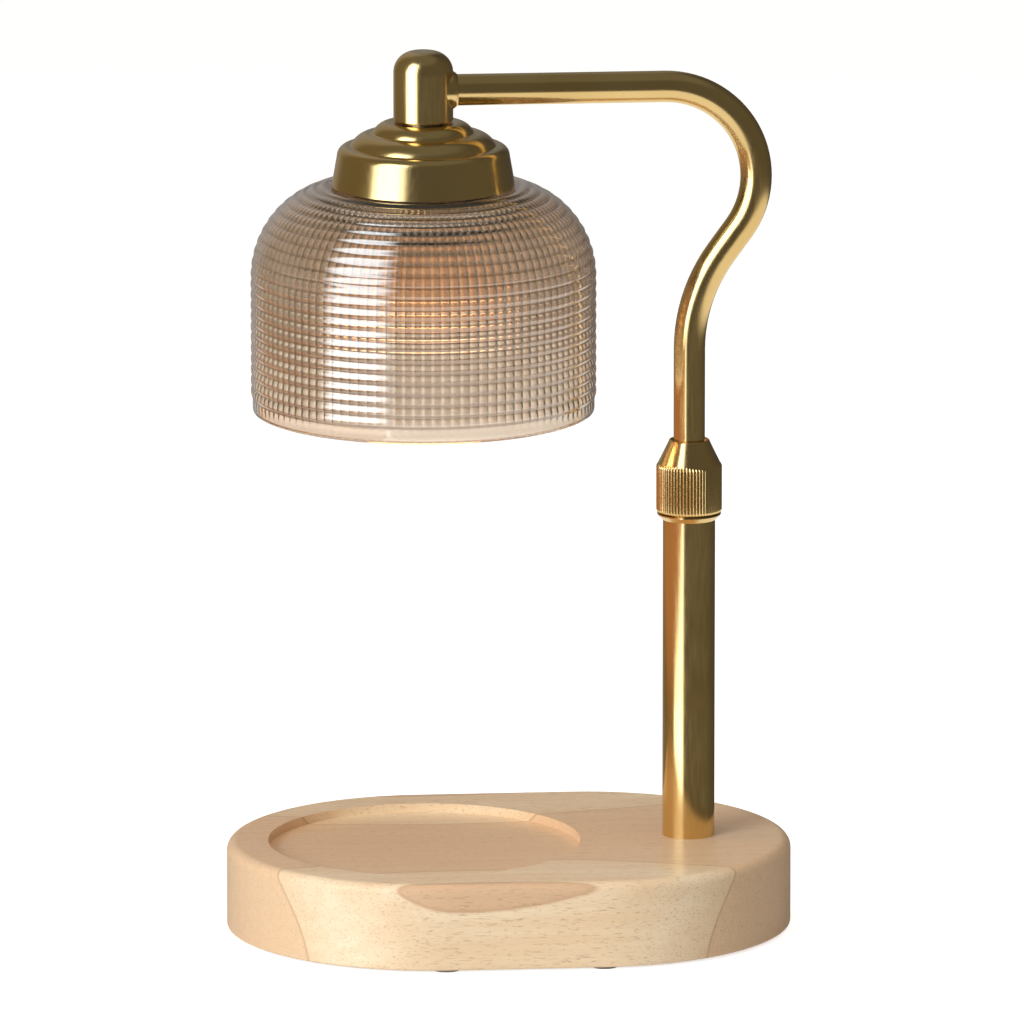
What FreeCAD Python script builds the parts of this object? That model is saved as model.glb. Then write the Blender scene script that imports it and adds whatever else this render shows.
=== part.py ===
"""Warmer lamp: a wooden base with a round recess, a telescopic brass post and arm, and a glass shade round a
GU10 reflector bulb. Millimetres, +Z up, origin on the floor under the middle of the base.
+X points from the recess to the post."""
import FreeCAD, Part
import math
import os
import Sketcher

# Driving sizes, one for each thing that can be set by itself
SIZES = {
    # Wooden base
    "base_length": 216.0,
    "base_width": 156.0,
    "wood_thick": 33.0,
    "top_round": 4.0,
    "bottom_round": 1.0,
    "recess_dia": 119.4,
    "recess_depth": 3.4,
    "cavity_depth": 23.0,
    "cavity_width": 44.0,
    "cavity_reach": 83.0,
    "channel_width": 10.0,
    "channel_depth": 19.0,
    "outlet_wall": 16.0,
    "outlet_height": 12.0,
    # Cover, feet and cord outlet
    "cover_thick": 2.0,
    "cover_inset": 14.0,
    "cover_gap": 0.3,
    "cover_screw_x": 62.0,
    "cover_screw_y": 40.0,
    "screw_dia": 3.0,
    "screw_head_dia": 5.6,
    "screw_head_high": 1.4,
    "screw_length": 12.0,
    "pad_dia": 10.0,
    "pad_high": 1.0,
    "pad_inset": 7.0,
    "bushing_dia": 10.0,
    "bushing_flange_dia": 15.0,
    "bushing_flange": 1.6,
    "cord_bore": 6.4,
    # Wiring
    "lead_dia": 4.4,
    "lead_bend": 6.0,
    "lead_rise_bend": 9.5,
    "lead_above_cover": 0.4,
    "base_lead_top": 100.0,
    "slack_length": 100.0,
    "block_length": 20.0,
    "block_width": 18.0,
    "block_high": 11.0,
    "block_x": -2.0,
    "block_pitch": 9.0,
    "block_screw_dia": 3.6,
    "block_wire_dia": 3.2,
    # Post and what holds it down
    "post_x": 69.0,
    "post_dia": 20.0,
    "post_wall": 1.2,
    "post_length": 123.6,
    "plug_high": 12.0,
    "nipple_dia": 10.0,
    "nipple_bore": 7.0,
    "nipple_below": 7.5,
    "nipple_hole_gap": 0.2,
    "washer_dia": 30.0,
    "washer_thick": 1.5,
    "lock_washer_dia": 16.0,
    "lock_washer_thick": 0.8,
    "nut_width": 15.0,
    "nut_thick": 4.0,
    "grommet_flange": 1.0,
    "grommet_depth": 3.5,
    # Clamp at the post's top
    "gland_spigot": 14.0,
    "gland_flange_low_dia": 20.8,
    "gland_flange_dia": 24.4,
    "gland_flange_chamfer": 1.9,
    "gland_flange_high": 2.4,
    "gland_thread_dia": 19.2,
    "gland_thread_high": 10.5,
    "arm_slide_gap": 0.08,
    "collet_seat": 7.5,
    "collet_dia": 16.2,
    "collet_straight": 13.0,
    "collet_high": 17.1,
    "collet_tip_dia": 14.0,
    "collet_slot": 0.8,
    "collet_slot_depth": 12.0,
    "collar_gap": 0.3,
    "collar_dia": 25.1,
    "collar_straight": 18.8,
    "collar_high": 28.1,
    "collar_top_dia": 15.6,
    "collar_edge": 0.8,
    "collar_thread_gap": 0.05,
    "collar_thread_depth": 12.0,
    "collar_cone_gap": 0.25,
    "collar_mouth_dia": 13.8,
    "slip_washer_dia": 14.6,
    "slip_washer_thick": 0.8,
    "slip_washer_gap": 0.2,
    # Arm tube
    "reach": 101.5,
    "arm_dia": 12.0,
    "arm_wall": 1.0,
    "arm_bottom": 83.0,
    "bend_start": 223.7,
    "lean_radius": 62.9,
    "lean_angle": 36.05,
    "return_radius": 34.9,
    "bar_height": 325.2,
    # Guide at the arm's lower end
    "guide_ring_dia": 15.2,
    "guide_ring_high": 2.0,
    "guide_ring_offset": 0.5,
    "guide_bush_high": 10.0,
    "guide_gap": 0.3,
    "guide_side_gap": 0.1,
    "guide_bore_gap": 0.06,
    # Elbow over the head
    "elbow_dia": 22.7,
    "elbow_bottom": 313.7,
    "elbow_high": 26.6,
    "elbow_dome": 8.0,
    "elbow_edge": 0.6,
    "elbow_bore_high": 17.0,
    "elbow_socket": 6.1,
    "braze_width": 1.6,
    "braze_spread": 2.5,
    "braze_curve": 4.8,
    # Head: cup, nipple, holder and their washers
    "cup_washer_dia": 15.0,
    "cup_washer_thick": 0.5,
    "cup_wall": 0.9,
    "cup_high": 24.3,
    "cup_rim_dia": 69.6,
    "cup_waist_dia": 65.6,
    "cup_waist_high": 11.4,
    "cup_shoulder_dia": 59.2,
    "cup_shoulder_high": 15.0,
    "cup_shoulder_round": 3.7,
    "tier_two_dia": 55.2,
    "tier_two_top_dia": 41.2,
    "tier_two_high": 20.0,
    "tier_two_round": 8.5,
    "tier_three_dia": 38.4,
    "tier_three_top_dia": 26.8,
    "tier_three_round": 7.0,
    "tier_step": 0.3,
    "head_nipple_up": 5.3,
    "head_nipple_down": 14.2,
    "spacer_dia": 15.0,
    "spacer_high": 7.9,
    "holder_disc": 1.4,
    "holder_dia": 40.0,
    "holder_wall": 1.2,
    "holder_length": 26.9,
    "holder_flange_dia": 56.0,
    "holder_flange_thick": 1.4,
    "head_nut_width": 14.0,
    "head_nut_thick": 2.2,
    # Glass shade
    "shade_top": 288.5,
    "shade_rim": 201.5,
    "shade_dia": 130.0,
    "shade_wall": 3.0,
    "shade_straight_top": 253.6,
    "shade_crown_dia": 63.0,
    "shade_hole_gap": 0.4,
    "gasket_thick": 2.0,
    "ring_gasket_thick": 1.0,
    "shade_ring_dia": 54.0,
    "shade_ring_high": 4.0,
    "ring_thread_gap": 0.05,
    # Lampholder and bulb
    "lampholder_dia": 35.0,
    "lampholder_high": 12.0,
    "lampholder_drop": 4.5,
    "lampholder_face": 3.2,
    "lampholder_pocket": 5.0,
    "lampholder_screw_y": 12.5,
    "pin_spacing": 10.0,
    "pin_dia": 3.0,
    "pin_head_dia": 5.0,
    "pin_head_high": 3.4,
    "pin_length": 7.0,
    "pin_gap": 0.3,
    "bulb_twist": 35.0,
    "contact_thick": 0.6,
    "contact_width": 4.0,
    "bulb_face_dia": 50.0,
    "bulb_length": 49.0,
    "bulb_rim_high": 4.0,
    "bulb_neck_dia": 26.0,
    "bulb_neck_at": 31.0,
    "bulb_base_dia": 20.0,
    "bulb_wall": 1.2,
    "bulb_lens_thick": 1.6,
    "bulb_bowl_round": 55.0,
    "bulb_base_gap": 0.1,
    "capsule_dia": 9.0,
    "capsule_length": 20.0,
}

doc = FreeCAD.newDocument("warmer_lamp")
sheet = doc.addObject("Spreadsheet::Sheet", "Sizes")
for row, (alias, value) in enumerate(SIZES.items(), start=1):
    sheet.set("A%d" % row, alias)
    sheet.set("B%d" % row, str(value))
    sheet.setAlias("B%d" % row, alias)
doc.recompute()


class Size:
    """A length that knows both its value and the sheet expression that gives it."""

    def __init__(self, value, words):
        self.value = value
        self.words = words

    def __add__(self, other):
        return Size(self.value + number(other), "(%s + %s)" % (self.words, wording(other)))

    def __radd__(self, other):
        return Size(number(other) + self.value, "(%s + %s)" % (wording(other), self.words))

    def __sub__(self, other):
        return Size(self.value - number(other), "(%s - %s)" % (self.words, wording(other)))

    def __rsub__(self, other):
        return Size(number(other) - self.value, "(%s - %s)" % (wording(other), self.words))

    def __mul__(self, other):
        return Size(self.value * number(other), "(%s * %s)" % (self.words, wording(other)))

    def __truediv__(self, other):
        return Size(self.value / number(other), "(%s / %s)" % (self.words, wording(other)))

    def __neg__(self):
        return Size(-self.value, "(0 - %s)" % self.words)


def number(size):
    return size.value if isinstance(size, Size) else float(size)


def wording(size):
    return size.words if isinstance(size, Size) else repr(float(size))


def named(alias):
    return Size(SIZES[alias], "Sizes." + alias)


def bind(thing, path, size):
    """Ties one property of an object to the sheet, or sets it where the size is a bare number."""
    thing.setExpression(path, wording(size))


# Heights and places that several pieces share
BASE_TOP = named("pad_high") + named("wood_thick")
POST_X = named("post_x")
HEAD_X = POST_X - named("reach")
CAVITY_ROOF = named("pad_high") + named("cavity_depth")
COVER_TOP = named("pad_high") + named("cover_thick")
POST_TOP = BASE_TOP + named("post_length")
POST_BORE = named("post_dia") / 2 - named("post_wall")
GLAND_SEAT = POST_TOP + named("gland_flange_high")
GLAND_TOP = GLAND_SEAT + named("gland_thread_high")
COLLET_BOTTOM = GLAND_TOP - named("collet_seat")
COLLET_TOP = COLLET_BOTTOM + named("collet_high")
COLLAR_BOTTOM = GLAND_SEAT + named("collar_gap")
COLLAR_TOP = COLLAR_BOTTOM + named("collar_high")
ARM_R = named("arm_dia") / 2
NIPPLE_R = named("nipple_dia") / 2
CUP_TOP = named("elbow_bottom") - named("cup_washer_thick")
CUP_RIM = CUP_TOP - named("cup_high")
HOLDER_TOP = CUP_TOP - named("cup_wall") - named("spacer_high")
HOLDER_UNDER = HOLDER_TOP - named("holder_disc")
HOLDER_R = named("holder_dia") / 2
SHADE_HOLE = HOLDER_R + named("shade_hole_gap")
SHADE_CROWN_UNDER = named("shade_top") - named("shade_wall")
LAMPHOLDER_TOP = HOLDER_UNDER - named("lampholder_drop")
LAMPHOLDER_FACE = LAMPHOLDER_TOP - named("lampholder_high")
BULB_TOP = LAMPHOLDER_FACE - named("bulb_base_gap")
BULB_FACE = BULB_TOP - named("bulb_length")
PIN_TOP = BULB_TOP + named("pin_length")
LEAD_R = named("lead_dia") / 2
LEAD_LOW = COVER_TOP + named("lead_above_cover") + LEAD_R

parts = []


def keep(thing, label):
    """Marks a document object as a sub-part that is written out under its label."""
    thing.Label = label
    parts.append(thing)
    return thing


def new_body(label):
    return doc.addObject("PartDesign::Body", label)


def new_sketch(body, role, name, offset=0):
    """A sketch on one of the body's own origin planes, offset along that plane's normal."""
    plane = [f for f in body.Origin.OriginFeatures if f.Role == role][0]
    sketch = body.newObject("Sketcher::SketchObject", name)
    sketch.AttachmentSupport = (plane, [""])
    sketch.MapMode = "FlatFace"
    bind(sketch, "AttachmentOffset.Base.z", offset)
    return sketch


def pin_point(sketch, geo, point, x, y):
    """Fixes one point of the sketch at x, y."""
    for size, kind, axis in ((x, "DistanceX", -2), (y, "DistanceY", -1)):
        if not isinstance(size, Size) and size == 0:
            sketch.addConstraint(Sketcher.Constraint("PointOnObject", geo, point, axis))
        else:
            index = sketch.addConstraint(Sketcher.Constraint(kind, -1, 1, geo, point, number(size)))
            bind(sketch, "Constraints[%d]" % index, size)


def draw(sketch, start, steps, closed=True):
    """Draws lines and arcs from point to point. A step is (x, y), or (x, y, radius) for an arc, whose
    radius is positive where the arc turns left and negative where it turns right."""
    points = [start] + [step[:2] for step in steps]
    first = sketch.GeometryCount
    for index, step in enumerate(steps):
        a = FreeCAD.Vector(number(points[index][0]), number(points[index][1]), 0)
        b = FreeCAD.Vector(number(step[0]), number(step[1]), 0)
        if len(step) == 2:
            sketch.addGeometry(Part.LineSegment(a, b))
            continue
        radius = abs(number(step[2]))
        left = number(step[2]) > 0
        chord = b - a
        side = FreeCAD.Vector(-chord.y, chord.x, 0).normalize() * (1 if left else -1)
        depth = math.sqrt(max(radius**2 - (chord.Length / 2) ** 2, 0))
        centre = (a + b) / 2 + side * depth
        ends = (a, b) if left else (b, a)
        angles = [math.atan2(p.y - centre.y, p.x - centre.x) for p in ends]
        circle = Part.Circle(centre, FreeCAD.Vector(0, 0, 1), radius)
        sketch.addGeometry(Part.ArcOfCircle(circle, angles[0], angles[1]))
    for index, step in enumerate(steps):
        geo = first + index
        reversed_arc = len(step) == 3 and number(step[2]) < 0
        head, tail = (2, 1) if reversed_arc else (1, 2)
        if index == 0:
            pin_point(sketch, geo, head, *start)
        if index + 1 < len(steps):
            following = steps[index + 1]
            next_head = 2 if len(following) == 3 and number(following[2]) < 0 else 1
            sketch.addConstraint(Sketcher.Constraint("Coincident", geo, tail, geo + 1, next_head))
            pin_point(sketch, geo, tail, *step[:2])
        elif closed:
            first_head = 2 if len(steps[0]) == 3 and number(steps[0][2]) < 0 else 1
            sketch.addConstraint(Sketcher.Constraint("Coincident", geo, tail, first, first_head))
        else:
            pin_point(sketch, geo, tail, *step[:2])
        if len(step) == 3:
            radius = step[2] if number(step[2]) > 0 else -step[2]
            rule = sketch.addConstraint(Sketcher.Constraint("Radius", geo, number(radius)))
            bind(sketch, "Constraints[%d]" % rule, radius)


def draw_circle(sketch, x, y, radius):
    centre = FreeCAD.Vector(number(x), number(y), 0)
    geo = sketch.addGeometry(Part.Circle(centre, FreeCAD.Vector(0, 0, 1), number(radius)))
    pin_point(sketch, geo, 3, x, y)
    rule = sketch.addConstraint(Sketcher.Constraint("Radius", geo, number(radius)))
    bind(sketch, "Constraints[%d]" % rule, radius)


def draw_oblong(sketch, left, right, half_width):
    """A shape with two round ends, from x = left to x = right, drawn with quarter arcs."""
    near = left + half_width
    far = right - half_width
    steps = [
        (right, 0, half_width),
        (far, half_width, half_width),
        (near, half_width),
        (left, 0, half_width),
        (near, -half_width, half_width),
        (far, -half_width),
    ]
    draw(sketch, (far, -half_width), steps)


def draw_box(sketch, left, low, right, high):
    draw(sketch, (left, low), [(right, low), (right, high), (left, high), (left, low)])


def solid_volume(body):
    doc.recompute()
    return body.Shape.Volume


def pad(body, sketch, name, length):
    feature = body.newObject("PartDesign::Pad", name)
    feature.Profile = sketch
    bind(feature, "Length", length)
    body.Tip = feature
    return feature


def pocket(body, sketch, name, length, reverse=False):
    """Cuts, and makes sure that the solid really changed."""
    before = solid_volume(body)
    feature = body.newObject("PartDesign::Pocket", name)
    feature.Profile = sketch
    bind(feature, "Length", length)
    feature.Reversed = reverse
    body.Tip = feature
    if solid_volume(body) >= before - 1e-6:
        raise RuntimeError(name + " cuts nothing")
    return feature


def place(thing, x=0, y=0, z=0):
    for axis, size in (("x", x), ("y", y), ("z", z)):
        bind(thing, "Placement.Base." + axis, size)


def turned(label, x, start, steps, kept=True):
    """A turned piece: a closed outline of (radius, height) points swept round a vertical axis at x."""
    body = new_body(label)
    sketch = new_sketch(body, "XZ_Plane", label + "_outline")
    draw(sketch, start, steps)
    turn = body.newObject("PartDesign::Revolution", label + "_turn")
    turn.Profile = sketch
    turn.ReferenceAxis = (sketch, ["V_Axis"])
    turn.Angle = 360
    body.Tip = turn
    place(body, x=x)
    if kept:
        keep(body, label)
    return body


def ring(label, x, inner, outer, low, high, kept=True):
    """A plain ring or washer."""
    return turned(label, x, (inner, low), [(outer, low), (outer, high), (inner, high), (inner, low)], kept)


def cylinder(name, radius, height, x=0, y=0, z=0, along="z", angle=None):
    rod = doc.addObject("Part::Cylinder", name)
    bind(rod, "Radius", radius)
    bind(rod, "Height", height)
    if along == "x":
        rod.Placement.Rotation = FreeCAD.Rotation(FreeCAD.Vector(0, 1, 0), 90)
    if along == "y":
        rod.Placement.Rotation = FreeCAD.Rotation(FreeCAD.Vector(1, 0, 0), -90)
    if angle is not None:
        bind(rod, "Angle", angle)
    place(rod, x, y, z)
    return rod


def box(name, length, width, height, x, y, z):
    block = doc.addObject("Part::Box", name)
    for path, size in (("Length", length), ("Width", width), ("Height", height)):
        bind(block, path, size)
    place(block, x, y, z)
    return block


def cone(name, low_radius, high_radius, height, x, y, z):
    taper = doc.addObject("Part::Cone", name)
    bind(taper, "Radius1", low_radius)
    bind(taper, "Radius2", high_radius)
    bind(taper, "Height", height)
    place(taper, x, y, z)
    return taper


def fuse(name, things):
    joined = doc.addObject("Part::MultiFuse", name)
    joined.Shapes = things
    return joined


def cut(name, base, tool):
    result = doc.addObject("Part::Cut", name)
    result.Base = base
    result.Tool = tool
    return result


def group(label, things):
    """Identical fasteners or pairs, kept as separate solids under one label."""
    bundle = doc.addObject("Part::Compound", label)
    bundle.Links = things
    return keep(bundle, label)


def nut(label, x, width, thick, bore, z):
    """A hexagonal nut over its thread's plain bore."""
    prism = doc.addObject("Part::Prism", label + "_hexagon")
    prism.Polygon = 6
    bind(prism, "Circumradius", width / math.sqrt(3))
    bind(prism, "Height", thick)
    place(prism, x=x, z=z)
    hole = cylinder(label + "_bore", bore, thick, x=x, z=z)
    return keep(cut(label, prism, hole), label)


def pipe(label, x, start, steps, outer, inner=None):
    """A round bar or tube along a path of lines and arcs in the XZ plane, which starts upright or level."""
    body = new_body(label)
    path = new_sketch(body, "XZ_Plane", label + "_path")
    draw(path, start, steps, closed=False)
    upright = abs(number(steps[0][0]) - number(start[0])) < 1e-9
    role, across = ("XY_Plane", (start[0], 0)) if upright else ("YZ_Plane", (0, start[1]))
    section = new_sketch(body, role, label + "_section", start[1] if upright else start[0])
    draw_circle(section, across[0], across[1], outer)
    if inner is not None:
        draw_circle(section, across[0], across[1], inner)
    sweep = body.newObject("PartDesign::AdditivePipe", label + "_sweep")
    sweep.Profile = section
    sweep.Spine = (path, ["Edge%d" % (i + 1) for i in range(len(steps))])
    body.Tip = sweep
    place(body, x=x)
    return keep(body, label)


# Wooden base

def fillet_edges(body, name, height, radius):
    """Rounds every edge of the body's last feature that lies level at the given height."""
    doc.recompute()
    tip = body.Tip
    names = []
    for index, edge in enumerate(tip.Shape.Edges, start=1):
        if abs(edge.BoundBox.ZMin - height) < 1e-6 and abs(edge.BoundBox.ZMax - height) < 1e-6:
            names.append("Edge%d" % index)
    feature = body.newObject("PartDesign::Fillet", name)
    feature.Base = (tip, names)
    bind(feature, "Radius", radius)
    body.Tip = feature
    return feature


COVER_SCREWS = [(sx, sy) for sx in (-1, 1) for sy in (-1, 1)]


def make_base_block():
    """An oblong block with a round recess in its top, hollowed from below for the wiring."""
    body = new_body("base_block")
    half_length = named("base_length") / 2
    half_width = named("base_width") / 2
    floor = named("pad_high")
    outline = new_sketch(body, "XY_Plane", "base_outline", floor)
    draw_oblong(outline, -half_length, half_length, half_width)
    pad(body, outline, "base_pad", named("wood_thick"))
    fillet_edges(body, "base_top_round", number(BASE_TOP), named("top_round"))
    fillet_edges(body, "base_bottom_round", number(floor), named("bottom_round"))

    recess = new_sketch(body, "XY_Plane", "recess_outline", BASE_TOP)
    draw_circle(recess, HEAD_X, 0, named("recess_dia") / 2)
    pocket(body, recess, "recess", named("recess_depth"))

    inset = named("cover_inset")
    rebate = new_sketch(body, "XY_Plane", "rebate_outline", floor)
    draw_oblong(rebate, inset - half_length, half_length - inset, half_width - inset)
    pocket(body, rebate, "cover_rebate", named("cover_thick"), reverse=True)

    half_cavity = named("cavity_width") / 2
    cavity = new_sketch(body, "XY_Plane", "cavity_outline", floor)
    draw_oblong(cavity, POST_X - named("cavity_reach"), POST_X + half_cavity, half_cavity)
    pocket(body, cavity, "wiring_cavity", named("cavity_depth"), reverse=True)

    half_channel = named("channel_width") / 2
    channel = new_sketch(body, "XY_Plane", "channel_outline", floor)
    draw_box(channel, -half_channel, half_cavity / 2, half_channel, half_width - named("outlet_wall"))
    pocket(body, channel, "cord_channel", named("channel_depth"), reverse=True)

    hole = new_sketch(body, "XY_Plane", "nipple_hole_outline", BASE_TOP)
    draw_circle(hole, POST_X, 0, NIPPLE_R + named("nipple_hole_gap"))
    pocket(body, hole, "nipple_hole", named("wood_thick"))

    outlet = new_sketch(body, "XZ_Plane", "outlet_outline", -half_width)
    draw_circle(outlet, 0, named("outlet_height"), named("bushing_dia") / 2)
    pocket(body, outlet, "outlet_hole", named("outlet_wall"), reverse=True)
    seat = new_sketch(body, "XZ_Plane", "outlet_seat_outline", -half_width)
    draw_circle(seat, 0, named("outlet_height"), named("bushing_flange_dia") / 2)
    pocket(body, seat, "outlet_seat", named("bushing_flange"), reverse=True)

    pilots = new_sketch(body, "XY_Plane", "pilot_outline", COVER_TOP)
    for sx, sy in COVER_SCREWS:
        draw_circle(pilots, named("cover_screw_x") * sx, named("cover_screw_y") * sy, named("screw_dia") / 2)
    pocket(body, pilots, "screw_pilots", named("screw_length") - named("cover_thick"), reverse=True)
    keep(body, "base_block")


def make_base_cover():
    """A flat plate let into the underside, with four countersunk holes."""
    body = new_body("cover_body")
    half_length = named("base_length") / 2 - named("cover_inset") - named("cover_gap")
    half_width = named("base_width") / 2 - named("cover_inset") - named("cover_gap")
    outline = new_sketch(body, "XY_Plane", "cover_outline", named("pad_high"))
    draw_oblong(outline, -half_length, half_length, half_width)
    pad(body, outline, "cover_pad", named("cover_thick"))
    holes = []
    for index, (sx, sy) in enumerate(COVER_SCREWS):
        x = named("cover_screw_x") * sx
        y = named("cover_screw_y") * sy
        sink = cone("cover_sink_%d" % index, named("screw_head_dia") / 2, named("screw_dia") / 2,
                    named("screw_head_high"), x, y, named("pad_high"))
        holes += [sink, cylinder("cover_hole_%d" % index, named("screw_dia") / 2,
                                 named("cover_thick"), x, y, named("pad_high"))]
    keep(cut("base_cover_plate", body, fuse("cover_holes", holes)), "base_cover")


def make_cover_screws():
    screws = []
    for index, (sx, sy) in enumerate(COVER_SCREWS):
        x = named("cover_screw_x") * sx
        y = named("cover_screw_y") * sy
        head = cone("cover_screw_head_%d" % index, named("screw_head_dia") / 2, named("screw_dia") / 2,
                    named("screw_head_high"), x, y, named("pad_high"))
        shank = cylinder("cover_screw_shank_%d" % index, named("screw_dia") / 2,
                         named("screw_length") - named("screw_head_high"), x, y,
                         named("pad_high") + named("screw_head_high"))
        screws.append(fuse("cover_screw_%d" % index, [head, shank]))
    group("cover_screws", screws)


def make_foot_pads():
    """Six thin stick-on pads on the wooden rim, so that the base stands just clear of the table."""
    inset = named("pad_inset")
    end_x = named("base_length") / 2 - inset
    side_x = (named("base_length") - named("base_width")) / 2
    side_y = named("base_width") / 2 - inset
    places = [(end_x, 0), (-end_x, 0)]
    places += [(side_x * sx, side_y * sy) for sx in (-1, 1) for sy in (-1, 1)]
    pads = []
    for index, (x, y) in enumerate(places):
        pads.append(cylinder("foot_pad_%d" % index, named("pad_dia") / 2, named("pad_high"), x, y, 0))
    group("foot_pads", pads)


def make_cord_bushing():
    """A flanged sleeve in the rear wall, where the supply cord leaves the base."""
    wall = named("outlet_wall")
    flange = cylinder("bushing_flange_disc", named("bushing_flange_dia") / 2, named("bushing_flange"), 0,
                      named("base_width") / 2 - named("bushing_flange"), named("outlet_height"), "y")
    sleeve = cylinder("bushing_sleeve", named("bushing_dia") / 2, wall, 0,
                      named("base_width") / 2 - wall, named("outlet_height"), "y")
    bore = cylinder("bushing_bore", named("cord_bore") / 2, wall, 0,
                    named("base_width") / 2 - wall, named("outlet_height"), "y")
    keep(cut("cord_bushing", fuse("bushing_body", [flange, sleeve]), bore), "cord_bushing")


def make_terminal_block():
    """A two-way block under the cavity's roof, with its clamp screws and one fixing screw."""
    length = named("block_length")
    width = named("block_width")
    low = CAVITY_ROOF - named("block_high")
    left = named("block_x")
    block = box("block_box", length, width, named("block_high"), left, width / -2, low)
    tools = []
    clamps = []
    for side in (-1, 1):
        y = named("block_pitch") / 2 * side
        tools.append(cylinder("block_way_%d" % (side + 1), named("block_wire_dia") / 2, length,
                              left, y, low + named("block_high") / 2, "x"))
        for end in (1, 3):
            x = left + length * end / 4
            well = (x, y, low)
            tools.append(cylinder("block_well_%d_%d" % (side + 1, end), named("block_screw_dia") / 2,
                                  named("block_high") / 3, *well))
            clamps.append(cylinder("block_clamp_%d_%d" % (side + 1, end), named("block_screw_dia") / 2,
                                   named("block_high") / 3, *well))
    middle = left + length / 2
    tools.append(cylinder("block_fixing_hole", named("screw_dia") / 2, named("block_high"), middle, 0, low))
    keep(cut("terminal_block", block, fuse("block_tools", tools)), "terminal_block")
    group("terminal_screws", clamps)
    shank = cylinder("block_screw_shank", named("screw_dia") / 2, named("block_high"), middle, 0, low)
    head = cylinder("block_screw_head", named("screw_head_dia") / 2, named("screw_head_high"), middle, 0,
                    low - named("screw_head_high"))
    keep(fuse("block_screw", [shank, head]), "block_screw")


def make_base_lead():
    """The inner lead from the block along the cavity and up inside the post."""
    bend = named("lead_bend")
    rise = named("lead_rise_bend")
    start = named("block_x") + named("block_length")
    top = LEAD_LOW + bend * 2
    steps = [
        (start + bend / 2, top),
        (start + bend * 1.5, top - bend, -bend),
        (start + bend * 2.5, LEAD_LOW, bend),
        (POST_X - rise, LEAD_LOW),
        (POST_X, LEAD_LOW + rise, rise),
        (POST_X, named("base_lead_top")),
    ]
    pipe("base_lead", 0, (start, top), steps, LEAD_R)


# Post and what holds it down

def make_post():
    low = BASE_TOP
    ring("post_tube", POST_X, POST_BORE, named("post_dia") / 2, low, POST_TOP)
    ring("post_foot_plug", POST_X, NIPPLE_R, POST_BORE, low, low + named("plug_high"))
    nipple_low = CAVITY_ROOF - named("nipple_below")
    ring("base_nipple", POST_X, named("nipple_bore") / 2, NIPPLE_R, nipple_low, low + named("plug_high"))
    washer_low = CAVITY_ROOF - named("washer_thick")
    ring("post_washer", POST_X, NIPPLE_R, named("washer_dia") / 2, washer_low, CAVITY_ROOF)
    lock_low = washer_low - named("lock_washer_thick")
    ring("post_lock_washer", POST_X, NIPPLE_R, named("lock_washer_dia") / 2, lock_low, washer_low)
    nut("post_nut", POST_X, named("nut_width"), named("nut_thick"), NIPPLE_R, lock_low - named("nut_thick"))
    bore = LEAD_R
    grip = named("nipple_bore") / 2
    low = nipple_low - named("grommet_flange")
    high = nipple_low + named("grommet_depth")
    steps = [(NIPPLE_R, low), (NIPPLE_R, nipple_low), (grip, nipple_low), (grip, high), (bore, high), (bore, low)]
    turned("nipple_grommet", POST_X, (bore, low), steps)


# Clamp at the post's top

def make_gland():
    """A threaded fitting in the post's top, which guides the arm and seats the collet."""
    bore = ARM_R + named("arm_slide_gap")
    low = POST_TOP - named("gland_spigot")
    rim = named("gland_flange_dia") / 2
    thread = named("gland_thread_dia") / 2
    seat = named("collet_dia") / 2
    steps = [
        (POST_BORE, low),
        (POST_BORE, POST_TOP),
        (named("gland_flange_low_dia") / 2, POST_TOP),
        (rim, POST_TOP + named("gland_flange_chamfer")),
        (rim, GLAND_SEAT),
        (thread, GLAND_SEAT),
        (thread, GLAND_TOP),
        (seat, GLAND_TOP),
        (seat, COLLET_BOTTOM),
        (bore, COLLET_BOTTOM),
        (bore, low),
    ]
    turned("gland_body", POST_X, (bore, low), steps)


def make_collet():
    """A split plastic ring that the collar squeezes on to the arm."""
    bore = ARM_R + named("arm_slide_gap")
    outer = named("collet_dia") / 2
    shoulder = COLLET_BOTTOM + named("collet_straight")
    steps = [
        (outer, COLLET_BOTTOM),
        (outer, shoulder),
        (named("collet_tip_dia") / 2, COLLET_TOP),
        (bore, COLLET_TOP),
        (bore, COLLET_BOTTOM),
    ]
    body = turned("collet_ring", POST_X, (bore, COLLET_BOTTOM), steps, kept=False)
    depth = named("collet_slot_depth")
    span = named("collet_dia") * 1.5
    slot = named("collet_slot")
    slots = [
        box("collet_slot_x", span, slot, depth, POST_X - span / 2, slot / -2, COLLET_TOP - depth),
        box("collet_slot_y", slot, span, depth, POST_X - slot / 2, span / -2, COLLET_TOP - depth),
    ]
    keep(cut("collet", body, fuse("collet_slots", slots)), "collet")


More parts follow.
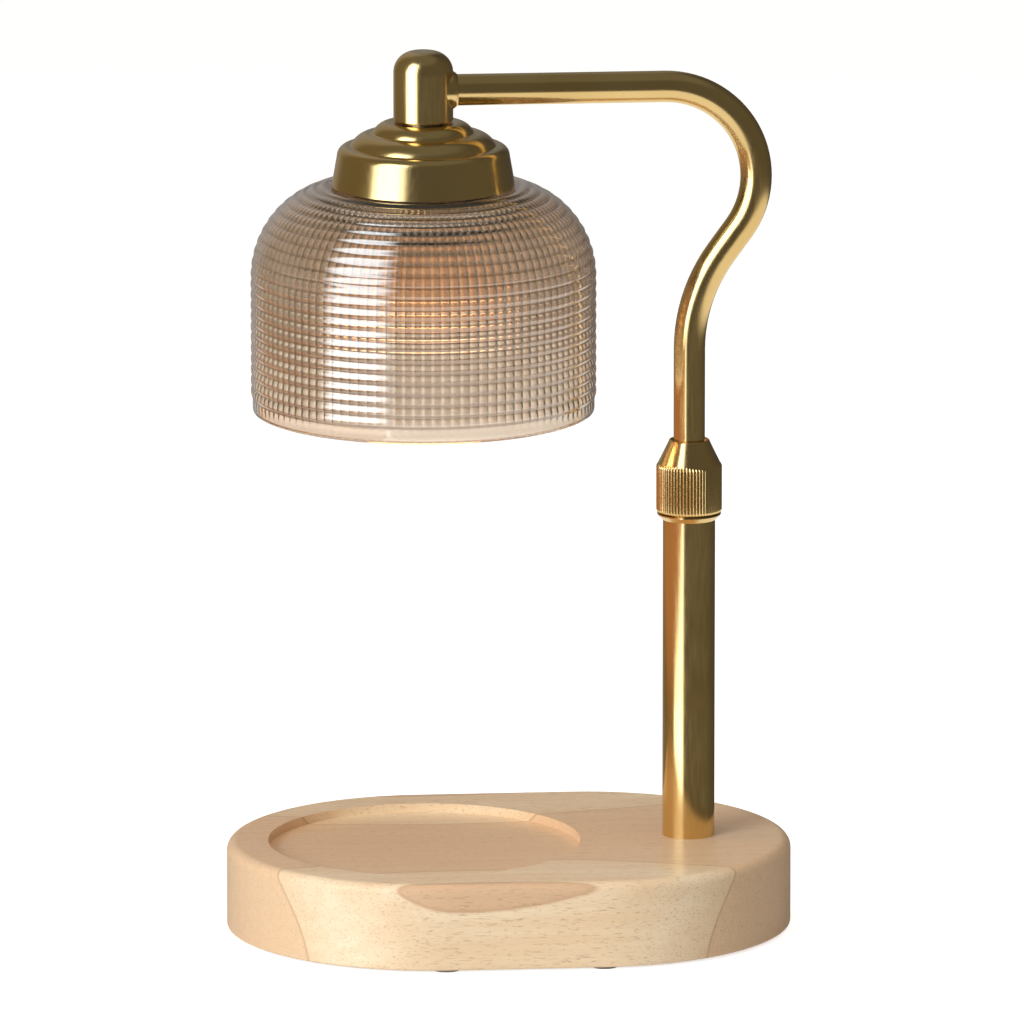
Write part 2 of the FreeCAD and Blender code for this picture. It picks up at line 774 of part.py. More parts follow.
def make_collar():
    """The knurled collar that is turned to free or lock the arm, and the washer captive in it."""
    outer = named("collar_dia") / 2
    thread = named("gland_thread_dia") / 2 + named("collar_thread_gap")
    shoulder = COLLAR_BOTTOM + named("collar_straight")
    thread_top = COLLAR_BOTTOM + named("collar_thread_depth")
    collet_shoulder = COLLET_BOTTOM + named("collet_straight")
    room = named("collet_dia") / 2 + named("collar_cone_gap")
    washer_r = named("slip_washer_dia") / 2
    pocket_r = washer_r + named("slip_washer_gap")
    washer_low = COLLET_TOP + named("slip_washer_gap")
    washer_top = washer_low + named("slip_washer_thick")
    pocket_top = washer_top + named("slip_washer_gap")
    mouth = named("collar_mouth_dia") / 2
    edge = named("collar_edge")
    steps = [
        (outer - edge, COLLAR_BOTTOM),
        (outer, COLLAR_BOTTOM + edge, edge),
        (outer, shoulder),
        (named("collar_top_dia") / 2, COLLAR_TOP),
        (mouth, COLLAR_TOP),
        (mouth, pocket_top),
        (pocket_r, pocket_top),
        (pocket_r, COLLET_TOP),
        (room, collet_shoulder),
        (room, thread_top),
        (thread, thread_top),
        (thread, COLLAR_BOTTOM),
    ]
    turned("collar_nut", POST_X, (thread, COLLAR_BOTTOM), steps)
    ring("slip_washer", POST_X, ARM_R + named("collar_cone_gap"), washer_r, washer_low, washer_top)


# Arm

def arm_points(end_x):
    """The arm's centreline above its upright run: a lean outwards, a straight, a long return bend and the
    level bar, which ends at end_x from the post's axis."""
    lean = named("lean_radius")
    back = named("return_radius")
    turn = "(Sizes.lean_angle * 1 deg)"
    radians = math.radians(SIZES["lean_angle"])
    sine = Size(math.sin(radians), "sin" + turn)
    cosine = Size(math.cos(radians), "cos" + turn)
    lean_end = (lean - lean * cosine, named("bend_start") + lean * sine)
    back_start_z = named("bar_height") - back - back * sine
    straight = (back_start_z - lean_end[1]) / cosine
    back_start = (lean_end[0] + straight * sine, back_start_z)
    back_centre_x = back_start[0] - back * cosine
    outermost = (back_centre_x + back, back_start_z + back * sine)
    return [
        (0, named("bend_start")),
        (*lean_end, -lean),
        back_start,
        (*outermost, back),
        (back_centre_x, named("bar_height"), back),
        (end_x, named("bar_height")),
    ]


def make_arm():
    tube_end = named("elbow_dia") / 2 - named("elbow_socket") - named("reach")
    pipe("arm_tube", POST_X, (0, named("arm_bottom")), arm_points(tube_end), ARM_R,
         ARM_R - named("arm_wall"))
    ring_high = named("guide_ring_high")
    ring_r = named("guide_ring_dia") / 2
    low = named("arm_bottom") + named("guide_ring_offset")
    ring("arm_end_ring", POST_X, ARM_R, ring_r, low, low + ring_high)
    bush_low = low + ring_high + named("guide_gap")
    bush_top = bush_low + named("guide_bush_high")
    ring("guide_bush", POST_X, ARM_R + named("guide_bore_gap"), POST_BORE - named("guide_side_gap"),
         bush_low, bush_top)
    stop_low = bush_top + named("guide_gap")
    ring("arm_stop_ring", POST_X, ARM_R, ring_r, stop_low, stop_low + ring_high)


def make_leads():
    """The slack stretch that the arm draws out, and the lead that rides in the arm to the lampholder."""
    slack_top = named("base_lead_top") + named("slack_length")
    rod = cylinder("slack_lead", LEAD_R, named("slack_length"), POST_X, 0, named("base_lead_top"))
    keep(rod, "slack_lead")
    bend = named("lead_bend")
    head = -named("reach")
    steps = arm_points(head + bend)
    steps += [(head, named("bar_height") - bend, bend), (head, LAMPHOLDER_TOP)]
    pipe("arm_lead", POST_X, (0, slack_top), steps, LEAD_R)


def make_elbow():
    """A domed brass block that joins the bar to the head's nipple, with the bar brazed into its side."""
    outer = named("elbow_dia") / 2
    low = named("elbow_bottom")
    top = low + named("elbow_high")
    dome = named("elbow_dome")
    edge = named("elbow_edge")
    bore_top = low + named("elbow_bore_high")
    steps = [
        (outer - edge, low),
        (outer, low + edge, edge),
        (outer, top - dome),
        (outer - dome, top, dome),
        (0, top),
        (0, bore_top),
        (NIPPLE_R, bore_top),
        (NIPPLE_R, low),
    ]
    body = turned("elbow_body", HEAD_X, (NIPPLE_R, low), steps, kept=False)
    fillet = named("braze_width")
    blend = turned("elbow_blend", 0, (ARM_R, 0), [
        (ARM_R + named("braze_spread"), 0),
        (ARM_R + fillet, outer - fillet),
        (ARM_R, outer + fillet, named("braze_curve")),
        (ARM_R, 0),
    ], kept=False)
    blend.Placement.Rotation = FreeCAD.Rotation(FreeCAD.Vector(0, 1, 0), 90)
    place(blend, x=HEAD_X, z=named("bar_height"))
    solid = fuse("elbow_solid", [body, blend])
    socket = cylinder("elbow_socket", ARM_R, named("elbow_dia"), HEAD_X + outer - named("elbow_socket"), 0,
                      named("bar_height"), "x")
    passage = cylinder("elbow_passage", ARM_R - named("arm_wall"), outer, HEAD_X, 0, named("bar_height"), "x")
    chamber = cylinder("elbow_chamber", NIPPLE_R, named("elbow_bore_high"), HEAD_X, 0, low)
    keep(cut("elbow", solid, fuse("elbow_hollow", [socket, passage, chamber])), "elbow")


# Head

def make_cup():
    """A spun brass cup in three tiers that hides the top of the shade."""
    wall = named("cup_wall")
    waist = (named("cup_waist_dia") / 2, CUP_RIM + named("cup_waist_high"))
    shoulder = (named("cup_shoulder_dia") / 2, CUP_RIM + named("cup_shoulder_high"))
    step_two = (named("tier_two_dia") / 2, shoulder[1] + named("tier_step"))
    top_two = (named("tier_two_top_dia") / 2, CUP_RIM + named("tier_two_high"))
    step_three = (named("tier_three_dia") / 2, top_two[1] + named("tier_step"))
    top_three = (named("tier_three_top_dia") / 2, CUP_TOP)
    rounds = {2: named("cup_shoulder_round"), 4: named("tier_two_round"), 6: named("tier_three_round")}
    outside = [(named("cup_rim_dia") / 2, CUP_RIM), waist, shoulder, step_two, top_two, step_three, top_three]
    steps = []
    for index, point in enumerate(outside[1:], start=1):
        steps.append((*point, rounds[index]) if index in rounds else point)
    hole = NIPPLE_R
    steps += [(hole, CUP_TOP), (hole, CUP_TOP - wall)]
    inside = [(r - wall, z - wall) for r, z in outside[1:]]
    for index in range(len(inside) - 1, -1, -1):
        point = inside[index]
        corner = index + 2
        steps.append((*point, -(rounds[corner] - wall)) if corner in rounds else point)
    steps.append((outside[0][0] - wall, CUP_RIM))
    steps.append(outside[0])
    turned("fitter_cup", HEAD_X, outside[0], steps)


def make_head_stack():
    """What hangs on the head's nipple, from the washer over the cup down to the nut."""
    ring("fitter_washer", HEAD_X, NIPPLE_R, named("cup_washer_dia") / 2, CUP_TOP, named("elbow_bottom"))
    nipple_top = named("elbow_bottom") + named("head_nipple_up")
    nipple_low = named("elbow_bottom") - named("head_nipple_down")
    ring("head_nipple", HEAD_X, named("nipple_bore") / 2, NIPPLE_R, nipple_low, nipple_top)
    ring("fitter_spacer", HEAD_X, NIPPLE_R, named("spacer_dia") / 2, HOLDER_TOP, CUP_TOP - named("cup_wall"))
    lock_low = HOLDER_UNDER - named("lock_washer_thick")
    ring("head_lock_washer", HEAD_X, NIPPLE_R, named("lock_washer_dia") / 2, lock_low, HOLDER_UNDER)
    thick = named("head_nut_thick")
    nut("head_nut", HEAD_X, named("head_nut_width"), thick, NIPPLE_R, lock_low - thick)


def make_shade_holder():
    """A threaded sleeve with a top disc and a flange, from which the shade hangs."""
    bore = HOLDER_R - named("holder_wall")
    low = HOLDER_TOP - named("holder_length")
    flange_low = named("shade_top") + named("gasket_thick")
    flange_top = flange_low + named("holder_flange_thick")
    flange_r = named("holder_flange_dia") / 2
    steps = [
        (HOLDER_R, low),
        (HOLDER_R, flange_low),
        (flange_r, flange_low),
        (flange_r, flange_top),
        (HOLDER_R, flange_top),
        (HOLDER_R, HOLDER_TOP),
        (NIPPLE_R, HOLDER_TOP),
        (NIPPLE_R, HOLDER_UNDER),
        (bore, HOLDER_UNDER),
        (bore, low),
    ]
    body = turned("holder_body", HEAD_X, (bore, low), steps, kept=False)
    holes = []
    for side in (-1, 1):
        holes.append(cylinder("holder_hole_%d" % (side + 1), named("screw_dia") / 2, named("holder_disc"),
                              HEAD_X, named("lampholder_screw_y") * side, HOLDER_UNDER))
    keep(cut("shade_holder", body, fuse("holder_holes", holes)), "shade_holder")
    ring("shade_gasket", HEAD_X, SHADE_HOLE, flange_r, named("shade_top"), flange_low)
    seal_low = SHADE_CROWN_UNDER - named("ring_gasket_thick")
    ring_r = named("shade_ring_dia") / 2
    ring("ring_gasket", HEAD_X, SHADE_HOLE, ring_r, seal_low, SHADE_CROWN_UNDER)
    ring("shade_ring", HEAD_X, HOLDER_R + named("ring_thread_gap"), ring_r,
         seal_low - named("shade_ring_high"), seal_low)


def make_glass_shade():
    """A bell of pressed glass with a rounded rim, open below and with a hole in its crown."""
    radius = named("shade_dia") / 2
    crown = named("shade_crown_dia") / 2
    wall = named("shade_wall")
    lip = wall / 2
    rim = named("shade_rim")
    top = named("shade_top")
    shoulder = named("shade_straight_top")
    bend = (radius - crown + top - shoulder) / 2
    turned("glass_shade", HEAD_X, (radius, rim + lip), [
        (radius, shoulder),
        (crown, top, bend),
        (SHADE_HOLE, top),
        (SHADE_HOLE, SHADE_CROWN_UNDER),
        (crown, SHADE_CROWN_UNDER),
        (radius - wall, shoulder, wall - bend),
        (radius - wall, rim + lip),
        (radius - lip, rim, lip),
        (radius, rim + lip, lip),
    ])


# Lampholder and bulb

def arc_slot(name, width, low, high):
    """Two curved slots on the pins' circle, swept through the bulb's locking twist."""
    pitch_r = named("pin_spacing") / 2
    half = width / 2
    overrun = half / pitch_r * math.degrees(1)
    shapes = []
    for index, start in enumerate((0, 180)):
        outer = cylinder("%s_outer_%d" % (name, index), pitch_r + half, high - low, HEAD_X, 0, low,
                         angle=named("bulb_twist") + overrun * 2)
        inner = cylinder("%s_inner_%d" % (name, index), pitch_r - half, high - low, HEAD_X, 0, low)
        first = start - named("bulb_twist") - overrun
        outer.setExpression("Placement.Rotation.Angle", "%s * 1 deg" % wording(first))
        shapes.append(cut("%s_sector_%d" % (name, index), outer, inner))
    return shapes


def make_lampholder():
    """A ceramic two-pin twist-lock holder, its spring contacts, and the screws and sleeves that hang it."""
    low = LAMPHOLDER_FACE
    top = LAMPHOLDER_TOP
    inner = low + named("lampholder_face")
    ceiling = inner + named("lampholder_pocket")
    body = cylinder("lampholder_disc", named("lampholder_dia") / 2, named("lampholder_high"), HEAD_X, 0, low)
    tools = arc_slot("neck_slot", named("pin_dia") + named("pin_gap") * 2, low, inner)
    tools += arc_slot("head_slot", named("pin_head_dia") + named("pin_gap") * 4, inner, ceiling)
    entry = named("pin_head_dia") / 2 + named("pin_gap")
    for index, start in enumerate((0, 180)):
        radians = math.radians(start - SIZES["bulb_twist"])
        words = "(%d deg - Sizes.bulb_twist * 1 deg)" % start
        x = HEAD_X + named("pin_spacing") / 2 * Size(math.cos(radians), "cos" + words)
        y = named("pin_spacing") / 2 * Size(math.sin(radians), "sin" + words)
        tools.append(cylinder("entry_%d" % index, entry, inner - low, x, y, low))
    screws = []
    sleeves = []
    shank = named("screw_dia") / 2
    head_r = named("screw_head_dia") / 2
    head_high = named("screw_head_high")
    for side in (-1, 1):
        tag = side + 1
        y = named("lampholder_screw_y") * side
        tools.append(cylinder("fixing_hole_%d" % tag, shank, top - low, HEAD_X, y, low))
        tools.append(cylinder("fixing_sink_%d" % tag, head_r, head_high, HEAD_X, y, low))
        rod = cylinder("holder_screw_shank_%d" % tag, shank, HOLDER_TOP - low, HEAD_X, y, low)
        head = cylinder("holder_screw_head_%d" % tag, head_r, head_high, HEAD_X, y, low)
        screws.append(fuse("holder_screw_%d" % tag, [rod, head]))
        tube = cylinder("holder_sleeve_out_%d" % tag, head_r, HOLDER_UNDER - top, HEAD_X, y, top)
        bore = cylinder("holder_sleeve_in_%d" % tag, shank, HOLDER_UNDER - top, HEAD_X, y, top)
        sleeves.append(cut("holder_sleeve_%d" % tag, tube, bore))
    keep(cut("lampholder", body, fuse("lampholder_tools", tools)), "lampholder")
    group("lampholder_screws", screws)
    group("lampholder_sleeves", sleeves)
    width = named("contact_width")
    contacts = []
    for side in (-1, 1):
        centre = HEAD_X + named("pin_spacing") / 2 * side
        contacts.append(box("contact_%d" % (side + 1), width, width, named("contact_thick"),
                            centre - width / 2, width / -2, ceiling - named("contact_thick")))
    group("lampholder_contacts", contacts)


def make_bulb():
    """A reflector bulb: a glass reflector, a front lens, a capsule, a ceramic cap and two pins."""
    face = BULB_FACE
    rim = named("bulb_face_dia") / 2
    wall = named("bulb_wall")
    lens_top = face + named("bulb_lens_thick")
    rim_top = face + named("bulb_rim_high")
    neck = named("bulb_neck_dia") / 2
    neck_z = face + named("bulb_neck_at")
    base_r = named("bulb_base_dia") / 2
    bowl = named("bulb_bowl_round")
    steps = [
        (rim, lens_top),
        (rim, rim_top),
        (neck, neck_z, bowl),
        (neck - wall, neck_z),
        (rim - wall, rim_top, -(bowl - wall)),
        (rim - wall, lens_top),
    ]
    turned("bulb_reflector", HEAD_X, (rim - wall, lens_top), steps)
    turned("bulb_lens", HEAD_X, (0, face), [(rim - wall, face), (rim, face + wall, wall), (rim, lens_top),
                                           (0, lens_top), (0, face)])
    turned("bulb_cap", HEAD_X, (0, neck_z), [(neck, neck_z), (base_r, neck_z + wall * 3), (base_r, BULB_TOP),
                                            (0, BULB_TOP), (0, neck_z)])
    capsule = named("capsule_dia") / 2
    tip = neck_z - named("capsule_length")
    turned("bulb_capsule", HEAD_X, (0, neck_z), [(0, tip), (capsule, tip + capsule, capsule),
                                                (capsule, neck_z), (0, neck_z)])
    pins = []
    for side in (-1, 1):
        x = HEAD_X + named("pin_spacing") / 2 * side
        rod = cylinder("pin_rod_%d" % (side + 1), named("pin_dia") / 2, named("pin_length"), x, 0, BULB_TOP)
        head = cylinder("pin_head_%d" % (side + 1), named("pin_head_dia") / 2, named("pin_head_high"), x, 0,
                        PIN_TOP - named("pin_head_high"))
        pins.append(fuse("bulb_pin_%d" % (side + 1), [rod, head]))
    group("bulb_pins", pins)


for make in (
    make_base_block,
    make_base_cover,
    make_cover_screws,
    make_foot_pads,
    make_cord_bushing,
    make_terminal_block,
    make_base_lead,
    make_post,
    make_gland,
    make_collet,
    make_collar,
    make_arm,
    make_leads,
    make_elbow,
    make_cup,
    make_head_stack,
    make_shade_holder,
    make_glass_shade,
    make_lampholder,
    make_bulb,
):
    make()
doc.recompute()

# Every object has to be sound before anything is written
for thing in doc.Objects:
    if "Invalid" in thing.State or "Error" in thing.State:
        raise RuntimeError("%s failed: %s" % (thing.Label, thing.State))
os.makedirs("parts", exist_ok=True)
for thing in parts:
    shape = thing.Shape
    if shape.isNull() or not shape.isValid() or not shape.Solids:
        raise RuntimeError(thing.Label + " is not a valid solid")
    shape.exportStep("parts/%s.step" % thing.Label)
    print("%-20s %2d solid(s) %10.1f mm3" % (thing.Label, len(shape.Solids), shape.Volume))
print(len(parts), "sub-parts")
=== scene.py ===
"""Looks of the warmer lamp: camera, light, materials, the pressed glass shade and the knurled collar.

Lengths are in metres. The lamp stands on z = 0, and the camera looks roughly along +Y.
"""
import math
import bpy
import numpy as np
from mathutils import Matrix, Vector


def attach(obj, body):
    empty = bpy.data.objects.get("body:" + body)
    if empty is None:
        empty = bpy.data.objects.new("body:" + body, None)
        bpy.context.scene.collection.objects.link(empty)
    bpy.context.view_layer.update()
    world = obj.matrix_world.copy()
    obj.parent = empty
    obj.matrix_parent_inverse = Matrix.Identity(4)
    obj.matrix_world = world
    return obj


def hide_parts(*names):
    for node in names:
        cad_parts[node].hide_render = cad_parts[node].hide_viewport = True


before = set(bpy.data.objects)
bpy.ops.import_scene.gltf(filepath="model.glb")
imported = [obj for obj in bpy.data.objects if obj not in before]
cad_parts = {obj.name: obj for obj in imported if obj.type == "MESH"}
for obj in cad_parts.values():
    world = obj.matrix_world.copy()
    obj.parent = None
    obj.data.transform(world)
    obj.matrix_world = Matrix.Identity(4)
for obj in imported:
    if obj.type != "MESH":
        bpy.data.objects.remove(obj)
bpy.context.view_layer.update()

POST_X = 0.069
HEAD_X = -0.0325

# Camera, at the photograph's angle

PAN = math.radians(5.13)
DIP = math.radians(12.14)
DISTANCE = 6.0
LENS = 553.7
AIM_HEIGHT = 0.16
AIM_RIGHT = 0.00122
AIM_UP = 0.00127
forward = Vector((math.sin(PAN) * math.cos(DIP), math.cos(PAN) * math.cos(DIP), -math.sin(DIP)))
right = Vector((math.cos(PAN), -math.sin(PAN), 0))
up = right.cross(forward)
aim = Vector((0, 0, AIM_HEIGHT)) + right * AIM_RIGHT + up * AIM_UP
camera_data = bpy.data.cameras.new("camera")
camera_data.sensor_width = 36
camera_data.lens = LENS
camera_data.clip_end = 10 * DISTANCE
camera = bpy.data.objects.new("camera", camera_data)
turn = Matrix((right, up, -forward)).transposed()
camera.matrix_world = Matrix.Translation(aim - forward * DISTANCE) @ turn.to_4x4()
bpy.context.scene.collection.objects.link(camera)
bpy.context.scene.camera = camera


# Node helpers

# Between these a noise texture's value nearly always lies
NOISE_LOW = 0.3
NOISE_HIGH = 0.7

# A Mix node's two colour inputs and its colour output
MIX_FIRST, MIX_SECOND, MIX_RESULT = 6, 7, 2


def new_material(name):
    """An empty node material, its tree, and its output node."""
    material = bpy.data.materials.new(name)
    material.use_nodes = True
    tree = material.node_tree
    tree.nodes.clear()
    return material, tree, tree.nodes.new("ShaderNodeOutputMaterial")


def link(tree, source, target):
    tree.links.new(source, target)


def feed(tree, value, socket):
    """Sets a socket to a number or a colour, or links a node's output to it."""
    if isinstance(value, (int, float)):
        socket.default_value = value
    elif isinstance(value, tuple):
        socket.default_value = (*value, 1)
    else:
        link(tree, value, socket)


def math_node(tree, operation, *values, clamp=False):
    node = tree.nodes.new("ShaderNodeMath")
    node.operation = operation
    node.use_clamp = clamp
    for socket, value in zip(node.inputs, values):
        feed(tree, value, socket)
    return node.outputs[0]


def position(tree, stretch=(1, 1, 1)):
    """Object coordinates in metres, stretched along each axis."""
    coords = tree.nodes.new("ShaderNodeTexCoord")
    mapping = tree.nodes.new("ShaderNodeMapping")
    mapping.inputs["Scale"].default_value = stretch
    link(tree, coords.outputs["Object"], mapping.inputs["Vector"])
    return mapping.outputs["Vector"]


def split(tree, vector):
    """The x, y and z of a vector."""
    node = tree.nodes.new("ShaderNodeSeparateXYZ")
    link(tree, vector, node.inputs["Vector"])
    return node.outputs


def noise(tree, vector, scale, detail, roughness=0.55):
    node = tree.nodes.new("ShaderNodeTexNoise")
    node.inputs["Scale"].default_value = scale
    node.inputs["Detail"].default_value = detail
    node.inputs["Roughness"].default_value = roughness
    link(tree, vector, node.inputs["Vector"])
    return node.outputs["Fac"]


def ramp(tree, factor, stops):
    """A colour ramp from (position, colour) stops."""
    node = tree.nodes.new("ShaderNodeValToRGB")
    elements = node.color_ramp.elements
    while len(elements) < len(stops):
        elements.new(0.5)
    for element, (place, colour) in zip(elements, stops):
        element.position = place
        element.color = (*colour, 1)
    link(tree, factor, node.inputs["Fac"])
    return node.outputs["Color"]


def remap(tree, value, low, high, new_low, new_high, smooth=False):
    node = tree.nodes.new("ShaderNodeMapRange")
    node.interpolation_type = "SMOOTHSTEP" if smooth else "LINEAR"
    node.inputs["From Min"].default_value = low
    node.inputs["From Max"].default_value = high
    node.inputs["To Min"].default_value = new_low
    node.inputs["To Max"].default_value = new_high
    link(tree, value, node.inputs["Value"])
    return node.outputs["Result"]


def mix_colour(tree, factor, first, second):
    node = tree.nodes.new("ShaderNodeMix")
    node.data_type = "RGBA"
    link(tree, factor, node.inputs["Factor"])
    feed(tree, first, node.inputs[MIX_FIRST])
    feed(tree, second, node.inputs[MIX_SECOND])
    return node.outputs[MIX_RESULT]


def mix_shader(tree, factor, first, second):
    node = tree.nodes.new("ShaderNodeMixShader")
    for socket, source in zip(node.inputs, (factor, first, second)):
        link(tree, source, socket)
    return node.outputs[0]


def bump(tree, height, strength, distance):
    node = tree.nodes.new("ShaderNodeBump")
    node.inputs["Strength"].default_value = strength
    node.inputs["Distance"].default_value = distance
    link(tree, height, node.inputs["Height"])
    return node.outputs["Normal"]


def principled(tree, **values):
    node = tree.nodes.new("ShaderNodeBsdfPrincipled")
    for name, value in values.items():
        feed(tree, value, node.inputs[name.replace("_", " ")])
    return node.outputs["BSDF"]


def seen_directly(tree, path):
    """1 for rays from the camera or through glass, and 0 for others."""
    return math_node(tree, "MAXIMUM", path.outputs["Is Camera Ray"], path.outputs["Is Transmission Ray"])


# Light. The camera and the rays through glass see white. Reflections see dim surroundings of their own, with a
# tall pale window at the front left and a pale area below in the floor's place.

# (share, colour) round the lamp: 0 is behind it, 0.25 its left, 0.5 the camera's side, 0.75 its right, 1 behind
OLIVE = (0.045, 0.038, 0.024)
SURROUNDINGS = [
    (0.00, (0.08, 0.08, 0.08)), (0.07, (0.08, 0.07, 0.06)), (0.12, OLIVE), (0.285, OLIVE),
    (0.315, (0.93, 0.97, 1.0)), (0.395, (0.88, 0.92, 0.96)),
    (0.43, (0.027, 0.025, 0.020)), (0.72, (0.030, 0.027, 0.020)),
    (0.93, (0.018, 0.016, 0.014)), (0.985, (0.06, 0.06, 0.06)),
]
BELOW = (0.26, 0.245, 0.22)
BELOW_FROM, BELOW_TO = -0.27, -0.40
ABOVE = (0.043, 0.041, 0.034)
ABOVE_FROM, ABOVE_TO = 0.72, 0.9
REFLECTED_STRENGTH = 3.8
AMBIENT = (1.0, 0.92, 0.82)
AMBIENT_STRENGTH = 0.30
WHITE = (1, 1, 1)
FLOOR_HALF = 8.0
FLOOR_PALE = (0.8, 0.8, 0.8)
FLOOR_LIFT = 0.72
CARD_X = -0.33
CARD_BACK, CARD_FRONT = 0.45, -0.55
CARD_TOP = 0.15
CARD_WARM = (0.47, 0.22, 0.10)


def background(tree, colour, strength):
    node = tree.nodes.new("ShaderNodeBackground")
    feed(tree, colour, node.inputs["Color"])
    node.inputs["Strength"].default_value = strength
    return node.outputs[0]


def make_world():
    """White seen directly, an even warm light on matt surfaces, and the surroundings that reflections see."""
    world = bpy.data.worlds.new("studio")
    world.use_nodes = True
    tree = world.node_tree
    tree.nodes.clear()
    output = tree.nodes.new("ShaderNodeOutputWorld")
    coords = tree.nodes.new("ShaderNodeTexCoord")
    x, y, z = split(tree, coords.outputs["Generated"])
    bearing = math_node(tree, "ARCTAN2", x, math_node(tree, "MULTIPLY", y, -1))
    seen = ramp(tree, remap(tree, bearing, -math.pi, math.pi, 0, 1), SURROUNDINGS)
    seen = mix_colour(tree, remap(tree, z, BELOW_FROM, BELOW_TO, 0, 1, smooth=True), seen, BELOW)
    seen = mix_colour(tree, remap(tree, z, ABOVE_FROM, ABOVE_TO, 0, 1, smooth=True), seen, ABOVE)
    path = tree.nodes.new("ShaderNodeLightPath")
    indirect = mix_shader(tree, path.outputs["Is Glossy Ray"], background(tree, AMBIENT, AMBIENT_STRENGTH),
                          background(tree, seen, REFLECTED_STRENGTH))
    shown = mix_shader(tree, seen_directly(tree, path), indirect, background(tree, WHITE, 1.0))
    link(tree, shown, output.inputs["Surface"])
    bpy.context.scene.world = world


def area_lamp(name, place, target, size, power, colour):
    """A square soft lamp that no reflection and no ray through glass sees."""
    data = bpy.data.lights.new(name, "AREA")
    data.shape = "SQUARE"
    data.size = size
    data.energy = power
    data.color = colour
    lamp = bpy.data.objects.new(name, data)
    lamp.location = place
    lamp.rotation_euler = (Vector(target) - Vector(place)).to_track_quat("-Z", "Y").to_euler()
    lamp.visible_glossy = False
    lamp.visible_transmission = False
    bpy.context.scene.collection.objects.link(lamp)


def flat_face(name, corners):
    """One face with four corners, in the scene."""
    mesh = bpy.data.meshes.new(name)
    mesh.from_pydata(corners, [], [(0, 1, 2, 3)])
    face = bpy.data.objects.new(name, mesh)
    bpy.context.scene.collection.objects.link(face)
    return face


def make_floor():
    """A wide white floor that keeps the shadow and clips to white in the open. Reflections don't see it."""
    half = FLOOR_HALF
    floor = flat_face("floor", [(-half, -half, 0), (half, -half, 0), (half, half, 0), (-half, half, 0)])
    material, tree, output = new_material("floor_white")
    matt = tree.nodes.new("ShaderNodeBsdfDiffuse")
    feed(tree, FLOOR_PALE, matt.inputs["Color"])
    glow = tree.nodes.new("ShaderNodeEmission")
    shown = seen_directly(tree, tree.nodes.new("ShaderNodeLightPath"))
    link(tree, math_node(tree, "MULTIPLY", shown, FLOOR_LIFT), glow.inputs["Strength"])
    both = tree.nodes.new("ShaderNodeAddShader")
    link(tree, matt.outputs[0], both.inputs[0])
    link(tree, glow.outputs[0], both.inputs[1])
    link(tree, both.outputs[0], output.inputs["Surface"])
    floor.data.materials.append(material)
    floor.visible_glossy = False


def make_warm_card():
    """A low warm card at the left, seen only in reflections, for the warm line along the post's left side."""
    card = flat_face("warm_card", [(CARD_X, CARD_FRONT, 0), (CARD_X, CARD_BACK, 0),
                                   (CARD_X, CARD_BACK, CARD_TOP), (CARD_X, CARD_FRONT, CARD_TOP)])
    material, tree, output = new_material("card_warm")
    glow = tree.nodes.new("ShaderNodeEmission")
    feed(tree, CARD_WARM, glow.inputs["Color"])
    link(tree, glow.outputs[0], output.inputs["Surface"])
    card.data.materials.append(material)
    card.visible_camera = False
    card.visible_diffuse = False
    card.visible_transmission = False
    card.visible_shadow = False


make_world()
make_warm_card()
area_lamp("window", place=(-1.25, -1.15, 0.75), target=(0, 0, 0.1), size=0.9, power=25, colour=(1.0, 0.99, 0.97))
area_lamp("overhead", place=(0.2, -0.2, 1.9), target=(0, 0, 0), size=1.2, power=9, colour=(1.0, 0.93, 0.84))
make_floor()


# Materials

# The wood's growth rings lie round an axis along X that is a little under the base and bends down at its ends
RING_DEPTH = 0.008
RING_MIDDLE_X = -0.025
RING_BEND = 1.5
RING_SWAY = 0.0013
RING_INNER, RING_OUTER = 0.030, 0.100
CREAM = (0.88, 0.70, 0.48)
PALE = (0.93, 0.78, 0.57)
PINK = (0.72, 0.50, 0.33)
LINE = (0.60, 0.39, 0.24)
RING_COLOURS = [
    (0.00, (0.82, 0.60, 0.40)), (0.343, (0.83, 0.61, 0.40)), (0.352, LINE), (0.360, CREAM), (0.55, PALE),
    (0.70, CREAM), (0.764, PALE), (0.770, LINE), (0.778, PINK), (1.00, (0.76, 0.54, 0.36)),
]
# Marks in the wood: stretch, noise scale, detail and roughness, the range that shows, how strongly, and the colour
WOOD_MARKS = {
    "streak": ((1.2, 26, 26), 9, 4, 0.55, 0.35, 0.7, 0.34, (0.78, 0.53, 0.31)),
    "dash": ((15, 120, 120), 18, 2, 0.6, 0.58, 0.68, 0.55, (0.44, 0.27, 0.15)),
    "speck": ((30, 300, 300), 6, 2, 0.55, 0.55, 0.75, 0.25, (0.60, 0.38, 0.21)),
}
BRASS_DARK = (0.74, 0.53, 0.22)
BRASS_LIGHT = (0.84, 0.64, 0.31)
GLASS_CREST = (0.83, 0.69, 0.55)
# Painted shade: the brown that the glass takes in its grooves, for the dark lattice of refraction; the crest colour
# is the glass's own amber tint
GLASS_GROOVE_SHADE = (0.24, 0.14, 0.07)
GLASS_IOR = 1.52
GLASS_COAT_IOR = 2.4
GRAIN_SPREAD = 0.08
GRAIN_BROAD = 0.06


